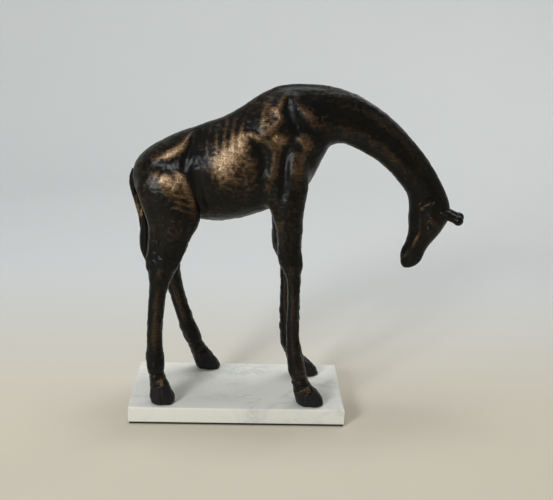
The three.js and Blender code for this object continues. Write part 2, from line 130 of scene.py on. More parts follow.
# ------------------------------------------------------------------ distance fields
class Field:
    """A block of signed distances in millimetres, positive outside the metal."""

    def __init__(self, values, first, voxel):
        self.values = values
        self.first = np.array(first)
        self.voxel = voxel

    def axes(self):
        return [(self.first[k] + np.arange(self.values.shape[k])) * self.voxel for k in range(3)]

    def part(self, low, high, voxel):
        """A copy of a box of this field, with voxels of another size."""
        first = np.floor(np.array(low) / voxel).astype(int)
        size = np.ceil(np.array(high) / voxel).astype(int) - first
        values = self.values
        for axis in range(3):
            place = (first[axis] + np.arange(size[axis])) * voxel / self.voxel - self.first[axis]
            cell = np.clip(place.astype(int), 0, values.shape[axis] - 2)
            share = np.clip(place - cell, 0, 1).astype(np.float32)
            share = np.expand_dims(share, [k for k in range(3) if k != axis])
            here, after = np.take(values, cell, axis), np.take(values, cell + 1, axis)
            values = here * (1 - share) + after * share
        return Field(values, first, voxel)

    def sample(self, points):
        place = np.asarray(points, float) / self.voxel - self.first
        top = np.array(self.values.shape) - 1.001
        place = np.clip(place, 0, top)
        cell = place.astype(int)
        part = place - cell
        total = np.zeros(len(place))
        for corner in np.ndindex(2, 2, 2):
            weight = np.prod(np.where(corner, part, 1 - part), axis=1)
            i, j, k = (cell + corner).T
            total += weight * self.values[i, j, k]
        return total

    def window(self, low, high):
        """Slices of the voxels between two corners, and their coordinates."""
        start = np.maximum(np.floor(np.array(low) / self.voxel).astype(int) - self.first, 0)
        stop = np.ceil(np.array(high) / self.voxel).astype(int) - self.first + 1
        stop = np.minimum(stop, self.values.shape)
        if np.any(stop <= start):
            return None, None
        cut = tuple(slice(a, b) for a, b in zip(start, stop))
        x, y, z = (axis[s] for axis, s in zip(self.axes(), cut))
        return cut, (x[:, None, None], y[None, :, None], z[None, None, :])

    def press(self, stroke):
        """Raises the skin by the stroke's height, or sinks it when that is negative."""
        reach = STROKE_REACH * stroke.radius
        low, high = stroke.points.min(0) - reach, stroke.points.max(0) + reach
        cut, grid = self.window(low, high)
        if cut is not None:
            shape = stroke.strength(*grid)
            self.values[cut] -= (stroke.height * shape).astype(np.float32)

    def blurred(self, sigma):
        """The field smoothed by sigma millimetres."""
        spread = sigma / self.voxel
        reach = max(int(math.ceil(2.5 * spread)), 1)
        weights = np.exp(-0.5 * (np.arange(-reach, reach + 1) / spread) ** 2)
        weights = (weights / weights.sum()).astype(np.float32)
        result = self.values
        for axis in range(3):
            padding = [(0, 0)] * 3
            padding[axis] = (reach, reach)
            wide = np.pad(result, padding, mode="edge")
            length = result.shape[axis]
            result = np.zeros_like(result)
            for k, weight in enumerate(weights):
                taken = [slice(None)] * 3
                taken[axis] = slice(k, k + length)
                result += weight * wide[tuple(taken)]
        return result

    def surface(self):
        """The skin as points in millimetres and quads."""
        grid = vdb.FloatGrid(float(self.values.max()))
        grid.copyFromArray(self.values, ijk=tuple(int(i) for i in self.first), tolerance=0.0)
        grid.transform = vdb.createLinearTransform(voxelSize=self.voxel)
        return grid.convertToQuads(0.0)


def level_set(points, faces, voxel, band, low, high):
    """The distance field of a closed mesh inside a box."""
    transform = vdb.createLinearTransform(voxelSize=voxel)
    kind = "quads" if faces.shape[1] == 4 else "triangles"
    grid = vdb.FloatGrid.createLevelSetFromPolygons(
        points.astype(np.float32),
        transform=transform,
        halfWidth=band / voxel,
        **{kind: faces.astype(np.uint32)},
    )
    first = np.floor(np.array(low) / voxel).astype(int)
    size = np.ceil(np.array(high) / voxel).astype(int) - first
    values = np.full(tuple(size), grid.background, np.float32)
    grid.copyToArray(values, ijk=tuple(int(i) for i in first))
    return Field(values, first, voxel)


def filled(values):
    """Closes the hollows: a voxel with metal on both sides of it along Y and Z is metal."""
    walls = []
    for axis in (1, 2):
        walls.append(np.minimum.accumulate(values, axis=axis))
        walls.append(np.flip(np.minimum.accumulate(np.flip(values, axis), axis=axis), axis))
    nearest = np.maximum.reduce(walls)
    return np.where(nearest < 0, np.minimum(values, nearest), values)


def fused_skin():
    """All the castings as one solid skin, with the seams, pin holes and hollows closed."""
    points, faces, count = [], [], 0
    for node in SKIN_NODES + [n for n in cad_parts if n.startswith("pin_")]:
        own_points, own_faces = cad_mesh(node)
        if node.startswith("pin_"):
            from_middle = own_points - own_points.mean(0)
            axis = np.linalg.svd(from_middle, full_matrices=False)[2][0]
            own_points = own_points + np.sign(from_middle @ axis)[:, None] * axis * PIN_SINK
        points.append(own_points)
        faces.append(own_faces + count)
        count += len(own_points)
    points = np.concatenate(points)
    low, high = points.min(0) - MARGIN, points.max(0) + MARGIN
    raw = level_set(points, np.concatenate(faces), 1.0, 3.0, low, high)
    raw.values = filled(raw.values)
    return raw.surface()


# ------------------------------------------------------------------ strokes
class Stroke:
    """A ridge or groove along a run of points, with a soft round profile and tapered ends.
    Its rub says how much the patina is rubbed off there, and on the flanks, tail and ears how much
    painted highlight is laid there."""

    def __init__(self, points, radius, height, rub_and_highlight=0.0):
        self.points = rounded(np.array(points, float).reshape(-1, 3))
        self.radius = radius
        self.height = height
        self.rub_and_highlight = rub_and_highlight

    def strength(self, x, y, z, widened=0.0):
        """From 0 to 1, how much of the stroke is felt at some places."""
        nearest, share = np.inf, 1.0
        steps = np.linalg.norm(np.diff(self.points, axis=0), axis=1)
        total = max(steps.sum(), 1e-6)
        passed = 0.0
        for a, b, step in zip(self.points[:-1], self.points[1:], steps):
            run = (b - a) / max(step, 1e-6)
            along = (x - a[0]) * run[0] + (y - a[1]) * run[1] + (z - a[2]) * run[2]
            along = np.clip(along, 0, step)
            gap = (x - a[0] - along * run[0]) ** 2
            gap = gap + (y - a[1] - along * run[1]) ** 2
            gap = gap + (z - a[2] - along * run[2]) ** 2
            share = np.where(gap < nearest, (passed + along) / total, share)
            nearest = np.minimum(gap, nearest)
            passed += step
        taper = 1.0
        if total > 3 * self.radius:
            taper = 0.35 + 0.65 * smooth_step(np.minimum(share, 1 - share) / 0.25)
        return taper * np.exp(-nearest / (self.radius + widened) ** 2)

    def near(self, places, reach):
        """The numbers of the places that lie near the stroke."""
        low, high = self.points.min(0) - reach, self.points.max(0) + reach
        return np.flatnonzero(np.all((places > low) & (places < high), axis=1))


def rounded(points):
    """A path with its corners cut, between the same ends."""
    if len(points) < 3:
        return points if len(points) == 2 else np.repeat(points, 2, axis=0)
    early = points[:-1] * 0.75 + points[1:] * 0.25
    late = points[:-1] * 0.25 + points[1:] * 0.75
    middle = np.stack([early, late], axis=1).reshape(-1, 3)[1:-1]
    return np.concatenate([points[:1], middle, points[-1:]])


def smooth_step(values):
    share = np.clip(values, 0, 1)
    return share * share * (3 - 2 * share)


def touch(base, start, way, reach):
    """Where a ray from outside first meets the skin."""
    steps = np.arange(0, reach, 0.5)
    points = start + steps[:, None] * way
    inside = np.flatnonzero(base.sample(points) < 0)
    return points[inside[0]] if len(inside) else None


def brush(find):
    """A function that draws strokes through places on one surface, which find turns into
    points. It takes the stroke's radius, height and rub with any painted highlight, and then the
    places."""

    def draw(radius, height, rub_and_highlight, *places):
        points = [find(*place) for place in places]
        return Stroke([p for p in points if p is not None], radius, height, rub_and_highlight)

    return draw


# ------------------------------------------------------------------ places on the skin
def on_flank(base, side):
    """A flank's places: percent of the torso's length from the rump, and of its height."""
    low, high = box("torso")

    def find(along, up):
        x = low[0] + (high[0] - low[0]) * along / 100
        z = low[2] + (high[2] - low[2]) * up / 100
        return touch(base, np.array([x, 70 * side, z]), np.array([0, -side, 0]), 70)

    return find


def under_belly(base):
    """The underside's places: percent of the torso's length, and millimetres to the left."""
    low, high = box("torso")

    def find(along, left):
        x = low[0] + (high[0] - low[0]) * along / 100
        return touch(base, np.array([x, left, low[2] - 8]), UP, 60)

    return find


def on_neck(base, side):
    """The neck's places: percent of the way to the head, and of the way up its side."""
    near, near_normal, near_half = flat_end("neck", (-1, 0, 0))
    far, _, far_half = flat_end("neck", (0.3, 0, -1))
    bend = near + near_normal * ((far - near) @ near_normal) * 0.55

    def find(along, up):
        t = along / 100
        middle = (1 - t) ** 2 * near + 2 * t * (1 - t) * bend + t ** 2 * far
        way = (1 - t) * (bend - near) + t * (far - bend)
        across = np.array([-way[2], 0, way[0]]) / np.linalg.norm(way)
        half = (1 - t) * near_half + t * far_half
        start = middle + across * half * (up - 50) / 50 + np.array([0, 60 * side, 0])
        return touch(base, start, np.array([0, -side, 0]), 60)

    return find


def head_sides():
    """The head is turned: the way to its left, and the way that its forehead faces."""
    left = centre("ossicone_left") - centre("ossicone_right")
    left[2] = 0
    left /= np.linalg.norm(left)
    return left, np.cross(left, UP)


def on_cheek(base, side):
    """The head's places: percent from the jaw to the forehead, and up from the lips."""
    left, ahead = head_sides()
    seam = flat_end("neck", (0.3, 0, -1))[0]
    points, _ = cad_mesh("head")
    below = points[points[:, 2] < seam[2]]
    span = (below - seam) @ ahead
    lips = below[:, 2].min()

    def find(forward, up):
        point = seam + ahead * (span.min() + (span.max() - span.min()) * forward / 100)
        point[2] = lips + (seam[2] - lips) * up / 100
        return touch(base, point + 30 * side * left, -side * left, 31)

    return find


def on_leg(base, skin, leg):
    """A leg's places: percent of its height, and a compass angle, where 0 is ahead, 90 is
    the leg's outer side and 180 is behind."""
    low, high = box("leg_" + leg)
    outer = np.sign(low[1] + high[1])
    near = skin[np.all((skin[:, :2] > low[:2] - 2) & (skin[:, :2] < high[:2] + 2), axis=1)]
    top, _ = leg_seam(leg)

    def find(up, angle):
        z = low[2] + (top - low[2]) * up / 100
        level = near[np.abs(near[:, 2] - z) < 1.5]
        middle = (level.min(0) + level.max(0)) / 2
        middle[2] = z
        turn = math.radians(angle)
        way = np.array([math.cos(turn), outer * math.sin(turn), 0])
        return touch(base, middle + 28 * way, -way, 28)

    return find


def leg_seam(leg):
    """The height of a leg's shoulder, and of the end of the torso's stump above it."""
    heights = []
    for node in ("leg_" + leg, "torso"):
        points, triangles = cad_mesh(node)
        corners = points[triangles]
        flat = np.ptp(corners[:, :, 2], axis=1) < 0.01
        above = corners[:, 0, 2] > centre("leg_" + leg)[2]
        close = np.linalg.norm(corners.mean(1)[:, :2] - centre("pin_" + leg)[:2], axis=1) < 25
        heights.append(float(corners[flat & above & close][:, 0, 2].min()))
    return heights


# ------------------------------------------------------------------ the sculpting
def flank_strokes(draw):
    """The shoulder, ribs, hip and thigh of one side, with golden and brown painted highlights on
    them.
    """
    return [
        # shoulder blade: the ridge down it, its rear edge and the plate between, under a painted
        # highlight
        draw(4.4, 2.3, 0.1, (77, 92), (75, 88), (73, 83), (75, 79), (72, 74), (69, 71), (65, 67)),
        draw(2.2, 0.9, 0.34, (76, 91), (75, 87), (73, 83), (75, 79), (72, 74)),
        draw(3.8, 1.1, 0.1, (69, 89), (66, 84), (66, 76), (65, 69)),
        draw(7.5, 1.5, 0.36, (72, 87), (70, 81), (67, 72)),
        # the hollow in front of the blade, and the notch at its top
        draw(4.2, -1.1, -0.15, (79, 88), (78, 82), (80, 77), (83, 72)),
        draw(2.2, -1.6, -0.3, (78, 90), (77, 84)),
        # the muscle that edges the neck, the point of the shoulder and the upper arm
        draw(5.2, 1.4, 0.05, (78, 94), (82, 90), (85, 86), (89, 81), (92, 75)),
        draw(7.0, 3.0, 0.2, (86, 66), (88, 63)),
        draw(7.5, 2.6, 0.1, (87, 61), (85, 55), (84, 47), (83, 39)),
        draw(6.0, 0.9, 0.3, (73, 67), (76, 65)),
        draw(6.0, 2.6, 0.1, (71, 62), (73, 55), (72, 46), (70, 38), (69, 31), (69, 24)),
        draw(4.0, 0.5, 0.1, (73, 66), (74, 57), (72, 49)),
        draw(4.6, -2.4, -0.2, (78, 60), (77, 51), (77, 41), (76, 25)),
        # behind the elbow, and the fold over that hollow
        draw(7.5, -3.8, -0.25, (62, 64), (65, 59), (67, 51), (65, 42)),
        draw(3.2, 1.4, 0.12, (57, 68), (61, 69), (64, 66), (69, 63), (73, 59)),
        # ribs, under a broad painted highlight of golden metal
        draw(2.4, 0.6, 0.1, (40, 75), (38, 65), (39, 54)),
        draw(2.4, 0.7, 0.12, (44, 76), (43, 66), (44, 54)),
        draw(2.4, 0.7, 0.12, (48, 77), (47, 66), (48, 54)),
        draw(2.4, 0.7, 0.12, (52, 78), (51, 68), (52, 56)),
        draw(2.4, 0.6, 0.1, (57, 78), (55, 69), (56, 58)),
        draw(11.0, 1.0, 0.66, (47, 51), (51, 57), (56, 64)),
        draw(12.0, 0.4, 0.14, (50, 40), (59, 39)),
        # the loin, the hip bone and the fold behind it; the hip bone's gold is partly worn metal and
        # partly a painted highlight
        draw(10.0, -1.7, -0.1, (33, 70), (35, 54)),
        draw(5.0, 2.6, 0.45, (15, 52), (20, 54), (25, 58), (28, 61), (30, 67)),
        draw(3.4, 0.8, 0.45, (18, 53), (23, 56), (28, 60)),
        draw(4.0, -2.8, -0.2, (32, 68), (30, 59), (28, 52), (27, 45)),
        draw(8.0, -1.6, -0.1, (16, 47), (22, 48)),
        # thigh, flank fold and stifle; the thigh's gold is a painted highlight
        draw(7.5, 2.0, 0.68, (15, 41), (20, 38), (26, 34)),
        draw(1.8, 0.6, 0.25, (25, 44), (28, 40), (28, 35)),
        draw(4.6, 1.6, 0.3, (24, 45), (28, 35), (31, 27), (34, 19)),
        draw(5.0, -3.2, -0.25, (32, 46), (34, 33), (36, 22), (38, 14)),
        draw(1.1, 0.6, 0.22, (22, 30), (27, 28), (32, 25)),
        draw(1.1, 0.6, 0.22, (21, 26), (27, 24), (33, 21)),
        draw(1.1, 0.6, 0.18, (22, 22), (27, 20), (33, 17)),
        # painted brown sheen round the golden places, in colour only
        draw(16.0, 0.0, 0.26, (46, 48), (60, 50)),
        draw(9.0, 0.0, 0.18, (10, 47), (15, 52), (22, 57)),
        draw(9.0, 0.0, 0.16, (71, 67), (75, 66)),
        draw(8.0, 0.0, 0.16, (87, 65), (88, 58)),
        draw(7.0, 0.0, 0.14, (81, 90), (87, 80), (93, 71)),
        draw(9.0, 0.0, 0.18, (11, 40), (20, 32), (28, 22)),
        draw(8.0, 0.0, 0.12, (73, 52), (71, 36), (70, 22)),
        draw(5.0, 0.0, 0.16, (86, 54), (84, 46)),
        draw(9.0, 0.0, 0.12, (90, 82), (98, 74)),
    ]


def belly_strokes(draw):
    """The fold along the middle of the belly."""
    return [draw(4.5, 1.8, 0.0, (39, 0), (44, 0), (48, 0)), draw(9.0, 0.8, 0.0, (48, 0), (58, 0))]


def neck_strokes(draw):
    """The long muscles and the windpipe of one side."""
    return [
        draw(4.0, -1.0, 0.0, (-8, 24), (10, 20), (35, 16), (65, 17), (96, 20)),
        draw(6.0, 0.9, 0.1, (-6, 42), (12, 37), (38, 34), (66, 36), (92, 36)),
        draw(4.5, -0.7, 0.0, (-4, 66), (16, 58), (40, 56), (70, 56), (96, 56)),
        draw(5.0, 0.6, 0.08, (6, 82), (30, 77), (62, 76), (94, 76)),
    ]


def cheek_strokes(draw):
    """The jaw, eye, nostril and mouth of one side."""
    return [
        draw(1.4, 1.2, 0.12, (41, 77), (42, 58), (43, 46), (36, 39), (28, 27), (26, 18)),
        draw(1.2, 0.3, 0.4, (41, 44), (36, 38), (30, 29)),
        draw(2.4, 1.2, 0.5, (42, 78), (44, 75)),
        draw(4.0, -0.9, 0.0, (49, 68), (50, 58)),
        draw(5.0, -0.6, 0.0, (30, 62), (30, 48)),
        draw(3.4, -1.3, -0.1, (58, 51), (61, 52)),
        draw(1.8, 1.9, 0.22, (60, 52), (60, 51)),
        draw(0.9, 0.8, 0.15, (53, 55), (57, 59), (62, 60), (67, 56)),
        draw(0.9, 0.6, 0.1, (54, 50), (58, 46), (63, 46), (67, 50)),
        draw(2.6, 0.9, 0.1, (60, 65), (69, 61), (75, 54)),
        draw(2.6, 0.6, 0.0, (64, 42), (54, 30), (46, 20)),
        draw(2.8, -0.8, 0.0, (50, 38), (42, 27)),
        draw(1.3, -1.5, -0.2, (43, 13), (42, 11)),
        draw(0.9, 0.6, 0.15, (38, 15), (42, 17), (47, 14)),
        draw(0.8, -0.9, -0.2, (7, 8), (14, 10), (22, 13), (27, 17)),
        draw(1.6, 0.5, 0.2, (10, 14), (18, 18)),
    ]


def horn_strokes():
    """The swelling of the skull round the root of each ossicone."""
    strokes = []
    for side in SIDES:
        middle, along, reach = long_way("ossicone_" + side, head_sides()[1])
        strokes.append(Stroke([middle - along * reach * k for k in (0.7, 0.15)], 6.0, 2.4))
    return strokes


def ear_strokes(side):
    """The hollow of an ear, and golden metal on its lower rim that is partly wear and partly a
    painted highlight.
    """
    outward = head_sides()[0] * SIDES[side]
    middle, along, reach = long_way("ear_" + side, UP)
    down = np.cross(along, outward)
    down *= -np.sign(down[2])
    ends = [middle + along * reach * share + outward * 2.2 for share in (-0.6, 0.6)]
    return [
        Stroke(ends, 1.6, -1.3, -0.1),
        Stroke([end + down * 2.8 for end in ends], 1.6, 0.4, 0.7),
    ]


def ossicone_strokes(side):
    """The stem of an ossicone, thickened into the skull."""
    middle, along, reach = long_way("ossicone_" + side, head_sides()[1])
    return [Stroke([middle - along * reach * 0.8, middle + along * reach * 0.2], 6.5, 1.3)]


def tail_strokes():
    """The wear on the tail above its tuft, which also lays a painted highlight there."""
    points, _ = cad_mesh("tail")
    low, high = box("tail")
    levels = [low[2] + (high[2] - low[2]) * share for share in (0.68, 0.58, 0.48)]
    places = [points[np.abs(points[:, 2] - level) < 6].mean(0) for level in levels]
    return [Stroke(places, 6.0, 0.0, 0.8)]


def around(up, slope):
    """Places all round a leg, higher ahead than behind by twice the slope."""
    return [(up + slope * math.cos(math.radians(a)), a) for a in range(0, 361, 30)]


def hoof_strokes(draw, coronet, pastern):
    """The cloven hoof, its coronet and the pastern above it."""
    return [
        draw(1.5, -1.0, 0.0, *around(pastern, 1.5)),
        draw(1.3, 0.8, 0.15, *around(coronet, 2.5)),
        draw(1.0, -0.5, 0.0, *around(coronet - 2.2, 2.5)),
        draw(1.2, -1.8, 0.0, (coronet + 1, 0), (coronet - 4, 0), (1, 0)),
        draw(1.6, -1.4, 0.0, (coronet - 3, 180), (1, 180)),
        draw(2.6, 0.8, 0.0, (coronet - 5, 150), (2, 150)),
        draw(2.6, 0.8, 0.0, (coronet - 5, 210), (2, 210)),
        draw(2.0, 0.9, 0.5, (coronet + 0.5, 62), (coronet - 2, 66)),
    ] + [
        draw(1.1, -0.7, 0.0, (coronet - 2, angle), (2, angle * 1.1))
        for angle in (-110, -80, -55, -30, 30, 55, 80, 110)
    ]


def front_leg_strokes(draw):
    """Knee, cannon, tendon, fetlock and hoof."""
    strokes = hoof_strokes(draw, 10.0, 15.5)
    strokes += [
        # knee: the cap, and the creases over and under it
        draw(5.0, 0.9, 0.12, (80, 20), (80, -20)),
        draw(1.1, -0.35, 0.0, (84, 100), (84.5, 60), (85, 0), (84.5, -60)),
        draw(1.4, -0.25, 0.0, (75, 100), (75, 50), (75, 0), (75, -50)),
        draw(2.6, 0.5, 0.0, (82, 170), (80, 180), (78, 190)),
        draw(2.2, 1.1, 0.0, (33, 180), (31, 180)),
        # forearm
        draw(5.0, -1.0, 0.0, (106, 100), (96, 98), (88, 100)),
        draw(4.6, 0.9, 0.05, (104, 130), (94, 138), (87, 148)),
    ]
    for side in (1, -1):
        strokes += [
            draw(3.6, 0.7, 0.14, (80, 85 * side), (78, 85 * side)),
            draw(1.5, -1.1, 0.0, *[(up, 124 * side) for up in (77, 62, 48, 36, 26)]),
            draw(2.0, 0.6, 0.16, *[(up, 98 * side) for up in (77, 62, 48, 36, 24)]),
            draw(3.8, 0.9, 0.0, (20, 95 * side), (19, 95 * side)),
        ]
    return strokes


def hind_leg_strokes(draw):
    """Gaskin, hock, cannon, tendon, fetlock and hoof."""
    strokes = hoof_strokes(draw, 14.0, 18.5)
    strokes += [
        # hock: its point, the cord above it and the crease in front
        draw(2.8, 1.4, 0.1, (87, 180), (83, 180)),
        draw(1.6, -0.4, 0.0, (79, 60), (80, 20), (80, -20), (79, -60)),
        draw(2.0, 0.8, 0.0, (30, 180), (27, 180)),
    ]
    for side in (1, -1):
        strokes += [
            draw(4.0, -1.0, 0.0, (104, 138 * side), (94, 136 * side), (86, 135 * side)),
            draw(3.4, 1.0, 0.2, (82, 100 * side), (79, 100 * side)),
            draw(1.6, -0.9, 0.0, *[(up, 122 * side) for up in (75, 62, 50, 38, 30)]),
            draw(2.4, 0.6, 0.2, *[(up, 88 * side) for up in (75, 62, 50, 38, 28)]),
            draw(3.6, 0.8, 0.0, (24, 95 * side), (23, 95 * side)),
            draw(6.0, 1.0, 0.04, (106, 70 * side), (92, 72 * side)),
        ]
    return strokes


# ------------------------------------------------------------------ grain of the casting
class Grain:
    """Smooth random lumps on a lattice that all the pieces share."""

    def __init__(self, seed, sizes, height):
        self.sizes = np.array(sizes, float)
        self.height = height
        low, high = extent()
        self.first = np.floor((low - 20) / self.sizes).astype(int)
        count = np.ceil((high + 20) / self.sizes).astype(int) - self.first + 2
        self.lattice = np.random.default_rng(seed).normal(0, 1, count).astype(np.float32)

    def at(self, field):
        """The lumps at each voxel of a field, in millimetres."""
        lumps = self.lattice
        for axis, places in enumerate(field.axes()):
            place = places / self.sizes[axis] - self.first[axis]
            cell = np.clip(place.astype(int), 0, lumps.shape[axis] - 2)
            share = (place - cell).astype(np.float32)
            share = share * share * (3 - 2 * share)
            share = np.expand_dims(share, [k for k in range(3) if k != axis])
            here, after = np.take(lumps, cell, axis), np.take(lumps, cell + 1, axis)
            lumps = here * (1 - share) + after * share
        return lumps * self.height


# ------------------------------------------------------------------ meshes
def cut_mesh(points, faces, cuts):
    """A bmesh of the skin, cut by planes. Each cut is a point, the normal of the side that
    goes, and a test that says which faces it may touch."""
    mesh = bpy.data.meshes.new("skin")
    mesh.from_pydata(points, [], faces)
    work = bmesh.new()
    work.from_mesh(mesh)
    bpy.data.meshes.remove(mesh)
    for middle, normal, test in cuts:
        touched = [f for f in work.faces if test(f.calc_center_median())]
        rim = dict.fromkeys(part for f in touched for part in (*f.edges, *f.verts))
        bmesh.ops.bisect_plane(
            work,
            geom=touched + list(rim),
            plane_co=Vector(middle),
            plane_no=Vector(normal),
            clear_outer=True,
        )
        rim = [e for e in work.edges if e.is_boundary]
        for edge in rim:
            edge.smooth = False
        bmesh.ops.holes_fill(work, edges=rim, sides=0)
    for vert in [v for v in work.verts if not v.link_faces]:
        work.verts.remove(vert)
    bmesh.ops.remove_doubles(work, verts=work.verts, dist=SAME_POINT)
    keep_largest(work)
    bmesh.ops.recalc_face_normals(work, faces=work.faces)
    return work


def keep_largest(work):
    """Deletes every separate island but the largest."""
    left = set(work.verts)
    largest = set()
    while left:
        queue = [left.pop()]
        island = set(queue)
        while queue:
            for edge in queue.pop().link_edges:
                for vert in edge.verts:
                    if vert not in island:
                        island.add(vert)
                        queue.append(vert)
        left -= island
        if len(island) > len(largest):
            largest = island
    bmesh.ops.delete(work, geom=[v for v in work.verts if v not in largest], context="VERTS")


def casting(name, field, cuts, strokes, material, replaced, wear=-0.18, hoof_line=None):
    """One piece: its skin cut at the seams, with the attributes its material reads. Wear is
    the rub where no stroke touches, and the hoof line gives the coronet's height at points."""
    points, faces = field.surface()
    work = cut_mesh(points, faces, cuts)
    mesh = bpy.data.meshes.new(name)
    work.to_mesh(mesh)
    work.free()
    count = len(mesh.vertices)
    places = np.empty(count * 3, np.float32)
    mesh.vertices.foreach_get("co", places)
    places = places.reshape(-1, 3)
    # bosses wear bright, and hollows stay dark
    proud = Field(field.blurred(1.8), field.first, field.voxel).sample(places)
    rub_and_highlight = np.clip(proud / 0.7, -0.3, 0.2) + wear
    # each stroke adds its rub, which on the flanks, tail and ears is also painted highlight
    for stroke in strokes:
        if stroke.rub_and_highlight:
            near = stroke.near(places, STROKE_REACH * (stroke.radius + RUB_WIDENED))
            rub_and_highlight[near] += stroke.rub_and_highlight * stroke.strength(*places[near].T, widened=RUB_WIDENED)
    put_attribute(mesh, "rub_and_highlight", rub_and_highlight)
    hoof = np.zeros(count)
    if hoof_line is not None:
        hoof = smooth_step((hoof_line(places) - places[:, 2]) / 1.5 + 0.5)
    put_attribute(mesh, "hoof", hoof)
    mesh.vertices.foreach_set("co", (places * MM).ravel())
    mesh.shade_smooth()
    mesh.update()
    mesh.materials.append(material)
    piece = bpy.data.objects.new(name, mesh)
    bpy.context.scene.collection.objects.link(piece)
    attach(piece, "root")
    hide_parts(*replaced)
    return piece


def put_attribute(mesh, name, values):
    attribute = mesh.attributes.new(name, "FLOAT", "POINT")
    attribute.data.foreach_set("value", np.asarray(values, np.float32))


# ------------------------------------------------------------------ the castings
def everywhere(place):
    return True


def sculpt(field, strokes, grains, grain_share=1.0):
    for stroke in strokes:
        field.press(stroke)
    for grain in grains:
        field.values -= grain.at(field) * grain_share


def build_skin(material):
    """The torso, neck, head and legs."""
    points, faces = fused_skin()
    base = level_set(points, faces, 1.0, BAND, points.min(0) - MARGIN, points.max(0) + MARGIN)
    base.values = base.blurred(0.8)
    strokes = belly_strokes(brush(under_belly(base)))
    for side in SIDES.values():
        strokes += flank_strokes(brush(on_flank(base, side)))
        strokes += neck_strokes(brush(on_neck(base, side)))
        strokes += cheek_strokes(brush(on_cheek(base, side)))
    for leg in LEGS:
        draw = brush(on_leg(base, points, leg))
        strokes += front_leg_strokes(draw) if leg.startswith("front") else hind_leg_strokes(draw)
    grains = [
        Grain(SEED, (2.6, 2.6, 2.6), 0.13),
        Grain(SEED + 1, (7, 7, 7), 0.15),
        Grain(SEED + 2, (9, 9, 1.5), 0.07),
    ]

    neck_near, near_normal, _ = flat_end("neck", (-1, 0, 0))
    neck_far, far_normal, _ = flat_end("neck", (0.3, 0, -1))
    half_gap = 0.15
    neck_near = neck_near + near_normal * half_gap
    neck_far = neck_far + far_normal * half_gap
    seams = {leg: sum(leg_seam(leg)) / 2 for leg in LEGS}

    # torso: its stumps blend smoothly into the flanks
    low, high = box("torso")
    field = base.part(low - (6, 6, 8), high + (5, 6, 6), 1.05)
    x, _, z = np.meshgrid(*field.axes(), indexing="ij", sparse=True)
    away = smooth_step((z - max(seams.values())) / 28) * smooth_step((neck_near[0] - x) / 22)
    field.values += away.astype(np.float32) * (field.blurred(3.2) - field.values)
    sculpt(field, strokes, grains)
    cuts = [(neck_near, -near_normal, everywhere)]
    for end, way in (("front", 1), ("hind", -1)):
        height = seams[end + "_left"]
        cuts.append((
            (0, 0, height),
            (0, 0, -1),
            lambda c, way=way, height=height: c.x * way > 0 and c.z < height + 4,
        ))
    casting("torso_casting", field, cuts, strokes, material, ["torso", "belly_plug"])

    low, high = box("neck")
    field = base.part(low + (8, -6, -8), high + (8, 6, 8), 0.8)
    sculpt(field, strokes, grains)
    cuts = [(neck_near, near_normal, everywhere), (neck_far, far_normal, everywhere)]
    casting("neck_casting", field, cuts, strokes, material, ["neck"], wear=-0.22)

    low, high = box("head")
    field = base.part(low - 6, high + 6, 0.45)
    sculpt(field, strokes + horn_strokes(), grains, 0.7)
    cuts = [(neck_far, -far_normal, everywhere)]
    casting("head_casting", field, cuts, strokes, material, ["head"], wear=-0.3)

    hammered = Grain(SEED + 5, (3.4, 3.4, 5.5), 0.26)
    for leg in LEGS:
        node = "leg_" + leg
        low, high = box(node)
        high[2] = seams[leg]
        field = base.part(low - (5, 5, 6), high + (5, 5, 5), 0.6)
        sculpt(field, strokes, grains + [hammered])
        cuts = [((0, 0, seams[leg]), (0, 0, 1), everywhere)]
        top = hoof_top(leg)
        casting(node + "_casting", field, cuts, strokes, material, [node], -0.26, top)


def hoof_top(leg):
    """The height of the coronet above each point of a leg."""
    sole = box("leg_" + leg)[0][2]
    middle = centre("stud_" + leg)
    rise = HOOF_RISE[leg.split("_")[0]]

    def height(points):
        return sole + rise + HOOF_SLOPE * (points[:, 0] - middle[0])

    return height


def build_small(material):
    """The tail, ears and ossicones, each from its own CAD node."""
    hair = Grain(SEED + 3, (1.7, 1.7, 16), 0.38)
    pits = Grain(SEED + 4, (1.5, 1.5, 1.5), 0.06)
    pieces = [("tail", 0.5, 0.8, tail_strokes(), hair, -0.32)]
    for side in SIDES:
        pieces.append(("ear_" + side, 0.35, 0.5, ear_strokes(side), pits, -0.32))
        pieces.append(("ossicone_" + side, 0.35, 0.5, ossicone_strokes(side), pits, -0.5))
    for node, voxel, sigma, strokes, grain, wear in pieces:
        points, faces = cad_mesh(node)
        field = level_set(points, faces, voxel, 5.0, points.min(0) - 6, points.max(0) + 6)
        field.values = field.blurred(sigma)
        sculpt(field, strokes, [grain])
        casting(node + "_casting", field, [], strokes, material, [node], wear)


# ------------------------------------------------------------------ materials
def new_material(name):
    material = bpy.data.materials.new(name)
    material.use_nodes = True
    tree = material.node_tree
    return material, tree, tree.nodes["Principled BSDF"]


def add_node(tree, kind, inputs=None, **settings):
    """A node with its settings. An input is a number, a colour or another node's output."""
    made = tree.nodes.new(kind)
    for key, value in settings.items():
        setattr(made, key, value)
    for key, value in (inputs or {}).items():
        if isinstance(value, bpy.types.NodeSocket):
            tree.links.new(value, made.inputs[key])
        else:
            made.inputs[key].default_value = value
    return made


def noise(tree, place, scale, detail, roughness=0.55):
    inputs = {"Vector": place, "Scale": scale, "Detail": detail, "Roughness": roughness}
    return add_node(tree, "ShaderNodeTexNoise", inputs).outputs["Fac"]


def stretched(tree, place, sizes):
    """The place divided by a grain's size along each axis, in metres."""
    scale = tuple(1 / size for size in sizes)
    return add_node(
        tree, "ShaderNodeMapping", {"Vector": place, "Scale": scale}
    ).outputs["Vector"]


def attribute(tree, name):
    return add_node(tree, "ShaderNodeAttribute", attribute_name=name).outputs["Fac"]


